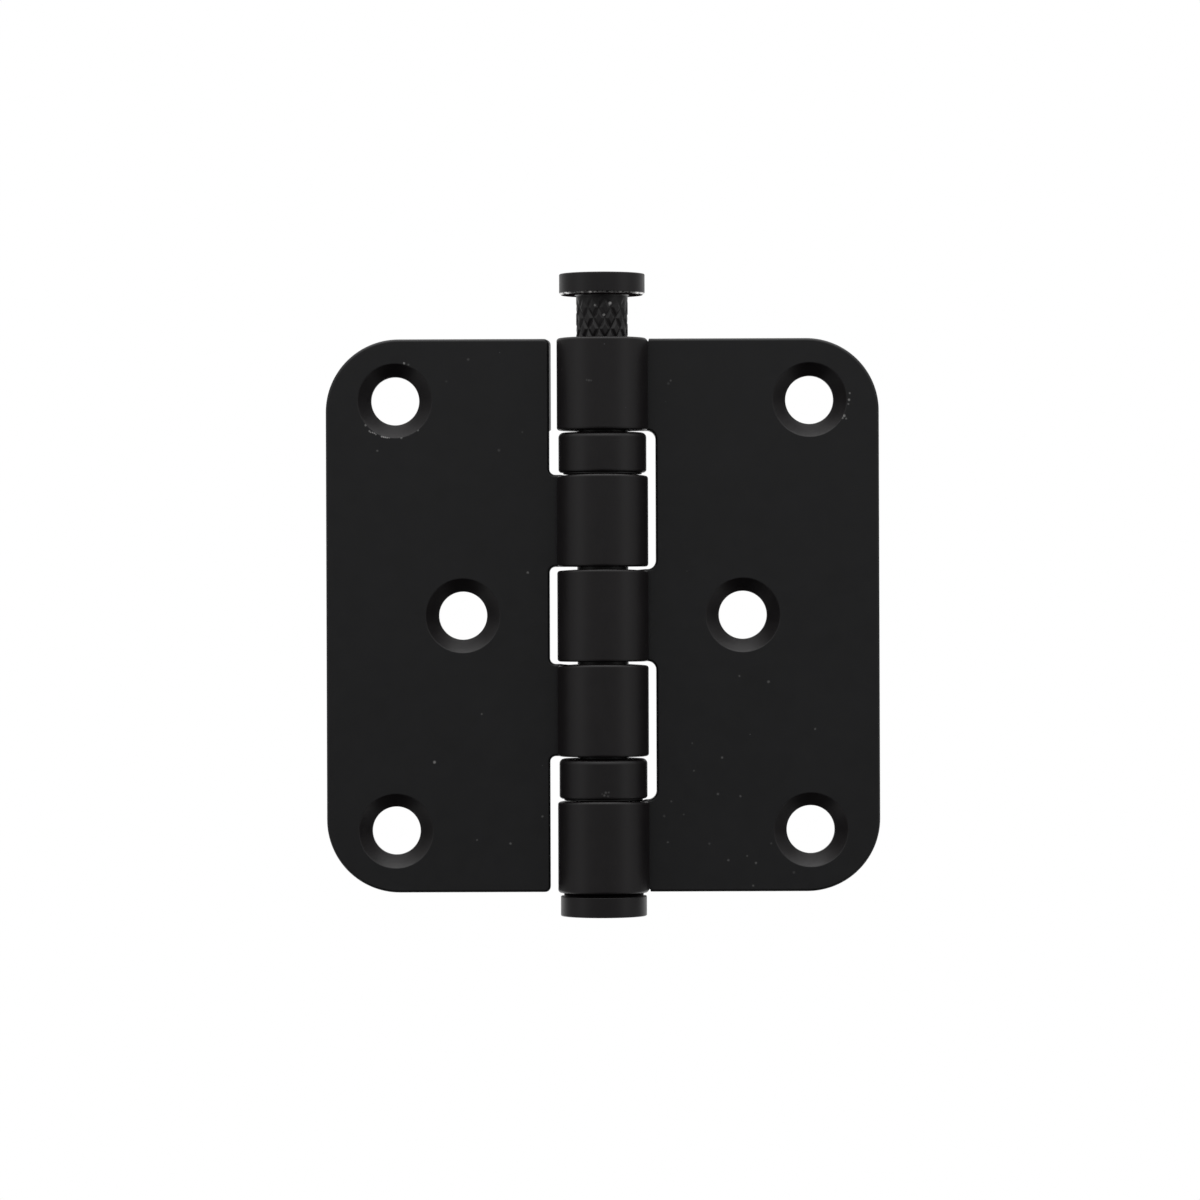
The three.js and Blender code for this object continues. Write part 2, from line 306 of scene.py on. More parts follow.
def front_sheet(spans, root_radius):
    """The front face of the plate as one sheet, with its three countersinks open.

    A leaf whose knuckles stop short of its ends has free corners there, and two more vertices where its
    sheared stretch begins. The other leaf has three more on each end, for the dip beside the bend.
    """
    top, bottom = HALF_HEIGHT, -HALF_HEIGHT
    inner = []
    for low, high in sorted(spans):
        inner += [(CUT_OUT_EDGE, low), (ROLL_START_X, low), (ROLL_START_X, high), (CUT_OUT_EDGE, high)]
    inner = [(x, z) for x, z in inner if x < CUT_OUT_EDGE or abs(abs(z) - top) > KNUCKLE_GAP]
    free_corners = len(inner) == 4 * len(spans)
    dips = [ROLL_START_X + (PLATE_DIP_REACH - BEND_DIP_AT) * share for share in PLATE_DIP_SHARES]
    if not free_corners:
        inner = [*((x, bottom) for x in dips), *inner, *((x, top) for x in reversed(dips))]
    else:
        shear = [(CUT_OUT_EDGE, -SHEAR_END - SHEAR_FADE), (CUT_OUT_EDGE, -SHEAR_END)]
        inner = [(CUT_OUT_EDGE, bottom), *shear, *inner, (CUT_OUT_EDGE, top)]
    bm = bmesh.new()
    corners = [(LEAF_WIDTH, top), (LEAF_WIDTH, bottom), *inner]
    verts = [bm.verts.new((x, FRONT_Y, z)) for x, z in corners]
    bm.faces.new(verts)
    outer = verts[:2]
    ends = [z for span in spans for z in span]
    on_edge = [(v, z) for v, (x, z) in zip(verts, corners) if x == CUT_OUT_EDGE]
    free = [v for v, z in on_edge if abs(z) == top]
    roots = [v for v, z in on_edge if abs(z) != top and z in ends]
    ease(bm, outer, CORNER_RADIUS, CORNER_STEPS, "VERTICES")
    ease(bm, roots, root_radius, ROOT_STEPS, "VERTICES")
    if free:
        ease(bm, free, FREE_CORNER_RADIUS, FREE_CORNER_STEPS, "VERTICES")
    bmesh.ops.delete(bm, geom=bm.faces[:], context="FACES_ONLY")
    for x, z in hole_places():
        at = Matrix.Translation((x, FRONT_Y, z)) @ Matrix.Rotation(pi / 2, 4, "X")
        bmesh.ops.create_circle(
            bm, cap_ends=False, radius=COUNTERSINK_RADIUS, segments=HOLE_STEPS, matrix=at
        )
    bmesh.ops.triangle_fill(bm, use_beauty=True, use_dissolve=False, edges=bm.edges[:], normal=(0, -1, 0))
    return bm


def draw_tabs(bm):
    """Draws the sheet out from its roll line, one step of the roll at a time."""
    steps = [BEND_LENGTH * (i + 1) / BEND_STEPS for i in range(BEND_STEPS)]
    steps += [BEND_LENGTH + SLOPE_LENGTH * (i + 1) / SLOPE_STEPS for i in range(SLOPE_STEPS)]
    flat = steps[-1]
    steps += [flat + ROLL_RADIUS * ROLL_TURN * (i + 1) / ROLL_STEPS for i in range(ROLL_STEPS)]
    rim = [e for e in bm.edges if all(abs(v.co.x - ROLL_START_X) < SAME for v in e.verts)]
    for step in steps:
        drawn = bmesh.ops.extrude_edge_only(bm, edges=rim)["geom"]
        verts = set(only(drawn, bmesh.types.BMVert))
        for vert in verts:
            vert.co.x = ROLL_START_X - step
        rim = [e for e in only(drawn, bmesh.types.BMEdge) if all(v in verts for v in e.verts)]


def thicken(bm):
    made = bmesh.ops.extrude_face_region(bm, geom=bm.faces[:], use_keep_orig=False)["geom"]
    bmesh.ops.translate(bm, verts=only(made, bmesh.types.BMVert), vec=(0, SHEET, 0))


def hole_loop(bm, x, z, y):
    """The edges of a countersink's rim on one side of the plate."""

    def on_rim(vert):
        reach = hypot(vert.co.x - x, vert.co.z - z)
        return abs(vert.co.y - y) < SAME and abs(reach - COUNTERSINK_RADIUS) < SAME

    return [e for e in bm.edges if all(on_rim(v) for v in e.verts)]


def draw_ring(bm, edges, x, z, radius, y):
    drawn = bmesh.ops.extrude_edge_only(bm, edges=edges)["geom"]
    verts = only(drawn, bmesh.types.BMVert)
    for vert in verts:
        out = Vector((vert.co.x - x, 0, vert.co.z - z)).normalized() * radius
        vert.co = Vector((x, y, z)) + out
    return [e for e in only(drawn, bmesh.types.BMEdge) if all(v in verts for v in e.verts)]


def cut_countersinks(bm):
    """Turns the plate's three straight holes into cones that end in drilled holes."""
    cone_depth = COUNTERSINK_RADIUS - HOLE_RADIUS
    for x, z in hole_places():
        front, back = hole_loop(bm, x, z, FRONT_Y), hole_loop(bm, x, z, BACK_Y)
        rims = {v for e in front + back for v in e.verts}
        walls = [f for f in bm.faces if all(v in rims for v in f.verts) and abs(f.normal.y) < 0.5]
        bmesh.ops.delete(bm, geom=walls, context="FACES_ONLY")
        cone_foot = draw_ring(bm, front, x, z, HOLE_RADIUS, FRONT_Y + cone_depth)
        draw_ring(bm, cone_foot, x, z, HOLE_RADIUS, BACK_Y)
        draw_ring(bm, back, x, z, HOLE_RADIUS, BACK_Y)
    bmesh.ops.remove_doubles(bm, verts=bm.verts, dist=SAME)
    bmesh.ops.recalc_face_normals(bm, faces=bm.faces)


def swell(distance):
    """A smooth hump: 1 at 0, and 0 from a distance of 1 on."""
    return (1 + cos(pi * distance)) / 2 if abs(distance) < 1 else 0


def settle_ends(bm, spans, tops_down):
    """Draws in the ends of a leaf and its knuckles where the rolling stretched them.

    At the leaf's own ends the plate dips beside the bend and the roll dips at its free end. The tops of the
    other knuckles are a little lower at their sides than at their front and back.
    """
    roll_end = BEND_LENGTH + SLOPE_LENGTH + ROLL_RADIUS * ROLL_TURN
    for vert in bm.verts:
        along = ROLL_START_X - vert.co.x
        outward = 1 if vert.co.z > 0 else -1
        if abs(vert.co.z) > HALF_HEIGHT - SAME:
            reach = PLATE_DIP_REACH if along < BEND_DIP_AT else ROLL_DIP_REACH
            drop = BEND_DIP * swell((along - BEND_DIP_AT) / reach)
            drop += ROLL_END_DIP * swell((roll_end - along) / ROLL_END_REACH)
            vert.co.z -= outward * drop
        elif along > 0:
            side = sin((along - BEND_LENGTH - SLOPE_LENGTH) / ROLL_RADIUS - ROLL_EXIT) ** 2
            start = min(1, along / BEND_LENGTH)
            top = -1 if tops_down else 1
            if any(abs(vert.co.z - (span[1] if top > 0 else span[0])) < SAME for span in spans):
                vert.co.z -= top * KNUCKLE_SADDLE * side * start


def near_hole(edge):
    middle = (edge.verts[0].co + edge.verts[1].co) / 2
    return any(hypot(middle.x - x, middle.z - z) < COUNTERSINK_RADIUS + SAME for x, z in hole_places())


def shear_free_edge(bm):
    """Slopes the edge beside the top knuckle, whose back the shears left a little proud of its front."""
    for vert in bm.verts:
        beyond = (-SHEAR_END - vert.co.z) / SHEAR_FADE
        near = 1 - (vert.co.x - CUT_OUT_EDGE - RIM_ROUND) / FREE_CORNER_RADIUS
        if beyond > 0 and near > 0 and vert.co.x > CUT_OUT_EDGE - SAME:
            share = min(1, beyond) * min(1, near) * (vert.co.y - FRONT_Y) / SHEET
            vert.co.x -= SHEAR_SLOPE * share


def mark_finishes(bm):
    """Gives the countersinks, and the bend with its knuckles, finishes of their own."""
    for face in bm.faces:
        middle = face.calc_center_median()
        if any(hypot(middle.x - x, middle.z - z) < COUNTERSINK_RADIUS for x, z in hole_places()):
            face.material_index = COUNTERSINK_SLOT
        elif middle.x < ROLL_START_X:
            face.material_index = ROLLED_SLOT


def rolled(co):
    """Where a point of the flat blank lies once its tab is rolled round the pin."""
    along = ROLL_START_X - co.x
    if along <= 0:
        return co
    out = co.y - MIDDLE_Y
    if along < BEND_LENGTH:
        turn = -pi / 2 - along / BEND_RADIUS
        reach = BEND_RADIUS - out
        return Vector((ROLL_START_X + reach * cos(turn), MIDDLE_Y + BEND_RADIUS + reach * sin(turn), co.z))
    exit_at = pi / 2 - ROLL_EXIT
    along -= BEND_LENGTH + SLOPE_LENGTH
    if along < 0:
        reach = ROLL_RADIUS + out
        x = reach * cos(exit_at) - along * cos(ROLL_EXIT)
        y = reach * sin(exit_at) + along * sin(ROLL_EXIT)
        return Vector((x, y, co.z))
    turn = exit_at + along / ROLL_RADIUS
    reach = ROLL_RADIUS + out
    return Vector((reach * cos(turn), reach * sin(turn), co.z))


def make_leaf(spans, root_radius, turned_over):
    bm = front_sheet(spans, root_radius)
    draw_tabs(bm)
    thicken(bm)
    bmesh.ops.recalc_face_normals(bm, faces=bm.faces)
    cut_countersinks(bm)
    settle_ends(bm, spans, turned_over)
    ease(bm, [e for e in sharp_edges(bm) if not near_hole(e)], RIM_ROUND, RIM_STEPS)
    ease(bm, [e for e in sharp_edges(bm) if near_hole(e)], HOLE_RIM_ROUND, HOLE_RIM_STEPS)
    mark_finishes(bm)
    if turned_over:
        shear_free_edge(bm)
    for vert in bm.verts:
        vert.co = rolled(vert.co)
    if turned_over:
        bmesh.ops.rotate(bm, verts=bm.verts, cent=(0, 0, 0), matrix=Matrix.Rotation(pi, 3, "Y"))
    return bm


# Pin and tip


def knurl_drop(angle, z, low, high):
    """How far the knurl's surface lies under its crests: two crossing sets of V grooves."""
    around = angle / (2 * pi) * KNURL_COUNT
    along = z / KNURL_PITCH
    valley = 0
    for turn in (around + along, around - along):
        valley = max(valley, abs(2 * (turn - floor(turn)) - 1))
    fade = min(1, (z - low) / KNURL_FOOT_FADE, (high - z) / KNURL_FADE)
    return KNURL_DEPTH * max(0, (valley - KNURL_FLAT) / (1 - KNURL_FLAT)) * max(0, fade)


def make_pin():
    under_head = pin_high.z - HEAD_HEIGHT
    chamfer_top = under_head + HEAD_CHAMFER
    knurl_top = under_head - KNURL_START
    knurl_bottom = under_head - NECK_LENGTH - KNURL_LENGTH
    end = pin_low.z
    knurl_height = knurl_top - knurl_bottom
    rows = [knurl_bottom + knurl_height * i / KNURL_ROWS for i in range(KNURL_ROWS + 1)]
    profile = [
        (0, end),
        (PIN_RADIUS - PIN_END_CHAMFER, end),
        (PIN_RADIUS, end + PIN_END_CHAMFER),
        (PIN_RADIUS, knurl_bottom - KNURL_STEP),
        *[(KNURL_RADIUS, z) for z in rows],
        *arc_points(KNURL_RADIUS + NECK_FILLET, under_head - NECK_FILLET, NECK_FILLET, 180, 90, 3),
        *chamfer_points((HEAD_RADIUS - HEAD_CHAMFER, under_head), (HEAD_RADIUS, chamfer_top)),
        *arc_points(HEAD_RADIUS - HEAD_TOP_ROUND, pin_high.z - HEAD_TOP_ROUND, HEAD_TOP_ROUND, 0, 90, 4),
        (0, pin_high.z),
    ]
    bm = spun(profile, segments=KNURL_SEGMENTS)
    for vert in bm.verts:
        if knurl_bottom - SAME < vert.co.z < knurl_top + SAME:
            angle = atan2(vert.co.y, vert.co.x)
            radius = KNURL_RADIUS - knurl_drop(angle, vert.co.z, knurl_bottom, knurl_top)
            vert.co.x, vert.co.y = radius * cos(angle), radius * sin(angle)
    # The head's level underside gets the painted shade that stands in for the shadow beneath the head
    for face in bm.faces:
        middle = face.calc_center_median()
        reach = hypot(middle.x, middle.y)
        if middle.z < chamfer_top and reach > KNURL_RADIUS + NECK_FILLET:
            face.material_index = SHADED_UNDERSIDE_SLOT if abs(face.normal.z) > 0.9 else CHAMFER_SLOT
    return bm


def make_tip():
    collar_top = -HALF_HEIGHT - TIP_GAP
    collar_bottom = collar_top - COLLAR_HEIGHT
    foot, brow = BUTTON_FOOT_ROUND, BUTTON_TOP_ROUND
    profile = [
        (0, tip_low.z),
        *arc_points(BUTTON_RADIUS - foot, tip_low.z + foot, foot, -90, 0, 4),
        *arc_points(BUTTON_RADIUS - brow, collar_bottom - brow, brow, 0, 90, 3),
        (COLLAR_RADIUS, collar_bottom),
        (COLLAR_RADIUS, collar_top),
        (TIP_STEM_RADIUS, collar_top),
        (TIP_STEM_RADIUS, tip_high.z - TIP_STEM_CHAMFER),
        (TIP_STEM_RADIUS - TIP_STEM_CHAMFER, tip_high.z),
        (0, tip_high.z),
    ]
    return spun(profile)


# Bearings


def make_sleeve(top):
    bottom = top - BEARING_HEIGHT - SLEEVE_DROP
    bore = RACE_RADIUS + BEARING_PLAY
    rolled_bore = LIP_RADIUS + BEARING_PLAY
    profile = [
        (RACE_BORE, top),
        (RACE_BORE, top - SLEEVE_WALL),
        (bore, top - SLEEVE_WALL),
        (bore, bottom + SLEEVE_WALL),
        (rolled_bore, bottom + SLEEVE_WALL),
        (rolled_bore, bottom),
        *arc_points(SLEEVE_RADIUS - ROLLED_CORNER, bottom + ROLLED_CORNER, ROLLED_CORNER, -90, 0, 8),
        *arc_points(SLEEVE_RADIUS - SLEEVE_CORNER, top - SLEEVE_CORNER, SLEEVE_CORNER, 0, 90, 8),
    ]
    return spun(profile, closed=True)


def race_heights(top):
    """The top race's upper face, the balls' middle and the bottom race's under side."""
    under_flange = top - SLEEVE_WALL - BEARING_PLAY
    bottom = top - BEARING_HEIGHT
    return under_flange, (under_flange + bottom) / 2, bottom


def groove_points(middle, start, end):
    return arc_points(BALL_CIRCLE, middle, GROOVE_RADIUS, start, end, GROOVE_STEPS)


def make_top_race(top):
    upper, middle, _ = race_heights(top)
    profile = [
        (RACE_BORE, upper),
        (RACE_BORE, middle + GROOVE_FACE),
        *groove_points(middle, 180 - GROOVE_EDGE, GROOVE_EDGE),
        (RACE_RADIUS, middle + GROOVE_FACE),
        (RACE_RADIUS, upper),
    ]
    return spun(profile, closed=True)


def make_bottom_race(top):
    _, middle, bottom = race_heights(top)
    shoulder = bottom + RACE_LIP + SLEEVE_WALL + BEARING_PLAY
    foot = bottom - RACE_FOOT
    profile = [
        (RACE_BORE, foot),
        *arc_points(LIP_RADIUS - RACE_FOOT_ROUND, foot + RACE_FOOT_ROUND, RACE_FOOT_ROUND, -90, 0, 3),
        (LIP_RADIUS, shoulder),
        (RACE_RADIUS, shoulder),
        (RACE_RADIUS, middle - GROOVE_FACE),
        *groove_points(middle, -GROOVE_EDGE, GROOVE_EDGE - 180),
        (RACE_BORE, middle - GROOVE_FACE),
    ]
    return spun(profile, closed=True)


def make_ball(top, number):
    _, middle, _ = race_heights(top)
    angle = 2 * pi * number / BALL_COUNT
    at = Matrix.Translation((BALL_CIRCLE * cos(angle), BALL_CIRCLE * sin(angle), middle))
    bm = bmesh.new()
    bmesh.ops.create_icosphere(bm, subdivisions=4, radius=BALL_RADIUS, matrix=at)
    return bm


# Materials, with their patterns in millimetres

DUST = (0.3, 0.3, 0.31, 1)
DUST_SHARE = 0.22  # of the cells that hold a speck
DUST_STRENGTH = 0.3
LEAST_SPECK = 0.4  # of the largest
# Colour of the marks: worn coat, and on the pin partly painted glints
WEAR_AND_GLINT_COLOUR = (0.72, 0.71, 0.7, 1)
WORN_ROUGHNESS = 0.7
LEAF_DARK, LEAF_LIGHT = (0.003, 0.003, 0.0037, 1), (0.0042, 0.0042, 0.0052, 1)
ROLLED_DARK, ROLLED_LIGHT = (0.0042, 0.0029, 0.0035, 1), (0.0056, 0.0039, 0.0047, 1)
TURNED_DARK, TURNED_LIGHT = (0.0042, 0.003, 0.0036, 1), (0.0056, 0.004, 0.0048, 1)
CHAMFER_COAT, CHAMFER_STEEL = (0.02, 0.019, 0.02, 1), (0.75, 0.74, 0.73, 1)
# Colour of the chamfer's bright spots: partly chipped coat, partly painted glints
GLINT_AND_CHIP_COLOUR = (0.9, 0.88, 0.86, 1)
# Painted shade: the head's underside colours, dark and matt in place of the shadow beneath the head
UNDERSIDE_SHADE_DARK, UNDERSIDE_SHADE_LIGHT = (0.014, 0.0105, 0.0115, 1), (0.026, 0.019, 0.021, 1)
RACE_COLOUR, BALL_COLOUR = (0.42, 0.42, 0.43, 1), (0.55, 0.55, 0.57, 1)
MARK_GRAIN = 6.0
MARK_SHIFT = 0.16  # how far the grain pulls a mark's edge about
MARK_CORE = 0.35  # share of a mark's radius that has its full brightness
GRAIN_HEIGHT = 0.00001  # in metres, unlike the rest
STEEL_GRAIN_HEIGHT = 0.000005


class Nodes:
    """Short ways to add and join nodes."""

    def __init__(self, tree):
        self.tree = tree

    def add(self, kind, **values):
        node = self.tree.nodes.new(kind)
        for key, value in values.items():
            setattr(node, key, value)
        return node

    def join(self, output, target):
        self.tree.links.new(output, target)

    def put(self, socket, value):
        """Joins an output to a socket, or sets a constant on it."""
        if isinstance(value, bpy.types.NodeSocket):
            self.join(value, socket)
        else:
            socket.default_value = value

    def set(self, node, name, value):
        self.put(node.inputs[name], value)

    def stretched(self, scale):
        node = self.add("ShaderNodeMapping")
        node.inputs["Scale"].default_value = scale
        self.join(self.place, node.inputs["Vector"])
        return node.outputs["Vector"]

    def noise(self, scale, detail=2, roughness=0.5, vector=None):
        node = self.add("ShaderNodeTexNoise")
        self.set(node, "Scale", scale)
        self.set(node, "Detail", detail)
        self.set(node, "Roughness", roughness)
        self.join(vector or self.place, node.inputs["Vector"])
        return node.outputs["Fac"]

    def ramp(self, value, low, high, out_low=0.0, out_high=1.0, smooth=False):
        node = self.add("ShaderNodeMapRange", clamp=True)
        node.interpolation_type = "SMOOTHSTEP" if smooth else "LINEAR"
        ends = {"From Min": low, "From Max": high, "To Min": out_low, "To Max": out_high}
        for name, number in ends.items():
            node.inputs[name].default_value = number
        self.join(value, node.inputs["Value"])
        return node.outputs["Result"]

    def math(self, operation, a, b=0.0):
        node = self.add("ShaderNodeMath", operation=operation)
        for socket, value in zip(node.inputs, (a, b)):
            self.put(socket, value)
        return node.outputs["Value"]

    def mix(self, share, a, b):
        """Colour a where share is 0, and colour b where it is 1."""
        node = self.add("ShaderNodeMix", data_type="RGBA")
        colours = [socket for socket in node.inputs if socket.type == "RGBA"]
        for socket, value in ((node.inputs[0], share), (colours[0], a), (colours[1], b)):
            self.put(socket, value)
        return next(socket for socket in node.outputs if socket.type == "RGBA")

    def specks(self, scale, size, share):
        """1 in small round specks, one to some of the cells of a Voronoi pattern."""
        node = self.add("ShaderNodeTexVoronoi")
        self.set(node, "Scale", scale)
        self.join(self.place, node.inputs["Vector"])
        split = self.add("ShaderNodeSeparateColor")
        self.join(node.outputs["Color"], split.inputs["Color"])
        chosen = self.math("LESS_THAN", split.outputs["Red"], share)
        sizes = self.ramp(split.outputs["Green"], 0, 1, size * LEAST_SPECK, size)
        inside = self.math("LESS_THAN", node.outputs["Distance"], sizes)
        return self.math("MULTIPLY", chosen, inside)

    def marks(self, places):
        """How bright the marks are: each fades from its core to its radius, with a ragged edge."""
        ragged = self.add("ShaderNodeTexNoise")
        self.set(ragged, "Scale", MARK_GRAIN)
        self.join(self.place, ragged.inputs["Vector"])
        shift = self.add("ShaderNodeVectorMath", operation="MULTIPLY_ADD")
        self.join(ragged.outputs["Color"], shift.inputs[0])
        shift.inputs[1].default_value = (MARK_SHIFT,) * 3
        self.join(self.place, shift.inputs[2])
        total = 0.0
        for x, y, z, radius, brightness in places:
            far = self.add("ShaderNodeVectorMath", operation="DISTANCE")
            self.join(shift.outputs[0], far.inputs[0])
            far.inputs[1].default_value = [part + MARK_SHIFT / 2 for part in (x, y, z)]
            shown = self.ramp(far.outputs["Value"], radius, radius * MARK_CORE, 0, brightness)
            total = self.math("MAXIMUM", total, shown)
        return total

    def bump(self, height, strength, distance, below=None):
        node = self.add("ShaderNodeBump")
        self.set(node, "Strength", strength)
        self.set(node, "Distance", distance)
        self.join(height, node.inputs["Height"])
        if below:
            self.join(below, node.inputs["Normal"])
        return node.outputs["Normal"]


class Finish(Nodes):
    """The nodes of one material; place is in millimetres about the pin's axis."""

    def __init__(self, name):
        self.material = bpy.data.materials.new(name)
        self.material.use_nodes = True
        super().__init__(self.material.node_tree)
        self.shader = self.tree.nodes["Principled BSDF"]
        in_mm = self.add("ShaderNodeMapping")
        in_mm.inputs["Location"].default_value = -PIN_AXIS / MM
        in_mm.inputs["Scale"].default_value = (1 / MM,) * 3
        self.join(self.add("ShaderNodeTexCoord").outputs["Object"], in_mm.inputs["Vector"])
        self.place = in_mm.outputs["Vector"]


def black_coat(name, dark, light, roughness, turned=False, marks=()):
    """Satin black coat on steel: a fine grain, slow changes of tone, dust, and worn marks; on the pin some
    marks are bright spots, partly worn coat and partly painted glints.

    Turned parts have fine rings under the coat.
    """
    n = Finish(name)
    colour = n.mix(n.ramp(n.noise(0.12, 3), 0.3, 0.7), dark, light)
    dust = n.specks(0.35, 0.05, DUST_SHARE)
    colour = n.mix(n.math("MULTIPLY", dust, DUST_STRENGTH), colour, DUST)
    gloss = n.ramp(n.noise(0.5, 4), 0.25, 0.75, roughness - 0.03, roughness + 0.04)
    if marks:
        # Marks: wear and dust, and on the pin partly painted glints
        wear_and_glints = n.marks(marks)
        colour = n.mix(wear_and_glints, colour, WEAR_AND_GLINT_COLOUR)
        gloss = n.math("MAXIMUM", gloss, n.math("MULTIPLY", wear_and_glints, WORN_ROUGHNESS))
    n.set(n.shader, "Base Color", colour)
    n.set(n.shader, "Roughness", gloss)
    n.set(n.shader, "IOR", 1.5)
    grain = n.bump(n.noise(9.0, 4, 0.7), 0.35, GRAIN_HEIGHT)
    if turned:
        rings = n.noise(1.0, 2, 0.6, n.stretched((0.15, 0.15, 14)))
        grain = n.bump(rings, 0.3, GRAIN_HEIGHT, grain)
    n.set(n.shader, "Normal", grain)
    return n.material


def worn_chamfer_and_glints(marks):
    """The head's lower chamfer, worn through to steel in patches, with a few bright spots that are partly
    deeper chipping of the coat and partly painted glints.
    """
    n = Finish("worn_chamfer_and_glints")
    bare = n.ramp(n.noise(0.9, 3, 0.6), 0.36, 0.5)
    # Bright spots, partly chipped coat and partly painted glints
    glints_and_chips = n.marks(marks)
    bare = n.math("MULTIPLY", bare, n.math("SUBTRACT", 1.0, glints_and_chips))
    colour = n.mix(bare, CHAMFER_COAT, CHAMFER_STEEL)
    n.set(n.shader, "Base Color", n.mix(glints_and_chips, colour, GLINT_AND_CHIP_COLOUR))
    n.set(n.shader, "Metallic", bare)
    n.set(n.shader, "Roughness", n.ramp(n.noise(3, 2), 0.3, 0.7, 0.22, 0.34))
    n.set(n.shader, "Normal", n.bump(n.noise(12, 3), 0.2, GRAIN_HEIGHT))
    return n.material


def underside_painted_shade():
    """Painted shade under the head: a dark, matt coat with no specular reflection, in place of the shadow
    that falls beneath the head.
    """
    n = Finish("underside_painted_shade")
    tone = n.ramp(n.noise(1.2, 3), 0.3, 0.7)
    n.set(n.shader, "Base Color", n.mix(tone, UNDERSIDE_SHADE_DARK, UNDERSIDE_SHADE_LIGHT))
    n.set(n.shader, "Roughness", n.ramp(n.noise(4, 2), 0.3, 0.7, 0.85, 0.95))
    n.set(n.shader, "Specular IOR Level", 0.0)
    n.set(n.shader, "Normal", n.bump(n.noise(9, 3), 0.3, GRAIN_HEIGHT))
    return n.material


def bare_steel(name, colour, roughness):
    n = Finish(name)
    tone = n.ramp(n.noise(1.5, 3), 0.3, 0.7)
    shade = tuple(0.8 * part for part in colour[:3]) + (1,)
    n.set(n.shader, "Base Color", n.mix(tone, shade, colour))
    n.set(n.shader, "Metallic", 1.0)
    n.set(n.shader, "Roughness", n.ramp(n.noise(4, 3), 0.3, 0.7, roughness, roughness + 0.08))
    n.set(n.shader, "Normal", n.bump(n.noise(30, 3), 0.15, STEEL_GRAIN_HEIGHT))
    return n.material


# Dust and small marks on the leaves' fronts, in millimetres: (x, z, radius, brightness)
FIXED_MARKS = [
    (33.2, 27.3, 0.26, 0.4), (33.0, 27.0, 0.2, 0.3), (33.5, 26.9, 0.18, 0.2),
    (33.9, 29.5, 0.22, 0.34), (34.0, 30.4, 0.18, 0.26), (33.8, 28.9, 0.16, 0.2),
    (31.6, 26.0, 0.2, 0.2), (19.7, -4.7, 0.24, 0.16), (22.9, -3.2, 0.2, 0.14),
    (22.7, -9.2, 0.26, 0.12), (20.9, -34.1, 0.22, 0.13), (20.5, -37.2, 0.2, 0.13),
    (16.3, -19.6, 0.22, 0.13), (29.1, -15.7, 0.2, 0.12), (18.7, -8.4, 0.18, 0.11),
    (17.1, -33.7, 0.22, 0.11), (18.8, -24.9, 0.2, 0.1), (15.7, -24.6, 0.24, 0.1),
    (9.3, -25.6, 0.18, 0.08), (19.7, -33.1, 0.18, 0.09), (8.8, -31.2, 0.2, 0.11),
    (12.4, -21.4, 0.18, 0.08), (14.5, -31.4, 0.22, 0.06), (12.2, -17.6, 0.18, 0.07),
    (23.0, -31.4, 0.2, 0.06), (11.0, -27.4, 0.18, 0.06), (26.1, -35.4, 0.24, 0.05),
    (8.3, -27.6, 0.24, 0.06), (9.4, 32.2, 0.18, 0.1), (9.1, 31.8, 0.24, 0.05),
]
SWING_MARKS = [
    (-23.2, -20.1, 0.28, 0.3), (-16.5, -3.8, 0.22, 0.3), (-27.2, 34.7, 0.2, 0.36),
    (-26.6, 34.5, 0.18, 0.12), (-20.7, -4.7, 0.26, 0.13), (-10.3, 5.9, 0.22, 0.2),
    (-12.8, -31.3, 0.22, 0.14), (-14.2, 22.7, 0.26, 0.06), (-16.7, -13.5, 0.18, 0.13),
    (-8.4, -27.6, 0.2, 0.13), (-17.4, -30.8, 0.18, 0.11), (-30.9, 22.7, 0.2, 0.12),
    (-18.4, 35.2, 0.24, 0.07), (-11.0, 25.2, 0.2, 0.05), (-21.4, 32.2, 0.2, 0.04),
    (-27.6, 24.45, 0.2, 0.24), (-25.3, 25.5, 0.18, 0.2), (-32.5, 26.2, 0.2, 0.26),
    (-32.0, 25.4, 0.16, 0.4), (-31.8, 25.25, 0.14, 0.4), (-31.55, 25.2, 0.15, 0.5),
    (-31.3, 25.1, 0.14, 0.42), (-31.1, 24.95, 0.13, 0.34), (-30.3, 24.65, 0.15, 0.5),
    (-30.05, 24.6, 0.16, 0.6), (-29.8, 24.55, 0.16, 0.6), (-29.55, 24.5, 0.15, 0.5),
    (-29.3, 24.5, 0.13, 0.36),
]

# Marks elsewhere, about the pin's axis: (x, y, z, radius, brightness)
# Bright spots on the knurl's crests: partly worn coat, partly painted glints
PIN_WEAR_AND_GLINTS = [
    (1.13, -3.36, 42.6, 0.3, 1.0), (1.07, -3.36, 42.4, 0.2, 0.7), (-0.96, -3.38, 42.35, 0.2, 0.42),
    (0.27, -3.36, 41.05, 0.24, 0.5),
]
# Bright spots on the head's chamfer: partly chipped coat, partly painted glints
CHAMFER_GLINTS_AND_CHIPS = [
    (-1.6, -5.5, 44.05, 0.34, 1.0), (-2.7, -5.1, 44.04, 0.26, 0.7), (-1.0, -5.65, 44.05, 0.24, 0.5),
    (2.55, -5.15, 44.04, 0.26, 0.5), (-3.3, -4.7, 44.04, 0.2, 0.3),
]
BARREL_MARKS = [
    (-2.1, -5.89, 32.05, 0.18, 0.06), (-1.8, -5.98, 31.98, 0.2, 0.08),
    (-1.5, -6.07, 31.96, 0.18, 0.06),
]
SLEEVE_MARKS = [
    (0.3, -6.02, -24.1, 0.22, 0.1), (0.7, -6.0, -24.1, 0.18, 0.08), (0.1, -6.02, -24.5, 0.2, 0.12),
    (0.6, -6.0, -24.6, 0.2, 0.07), (-0.2, -6.02, -24.3, 0.16, 0.05),
]


def on_front(marks):
    return [(x, FRONT_Y, z, radius, brightness) for x, z, radius, brightness in marks]


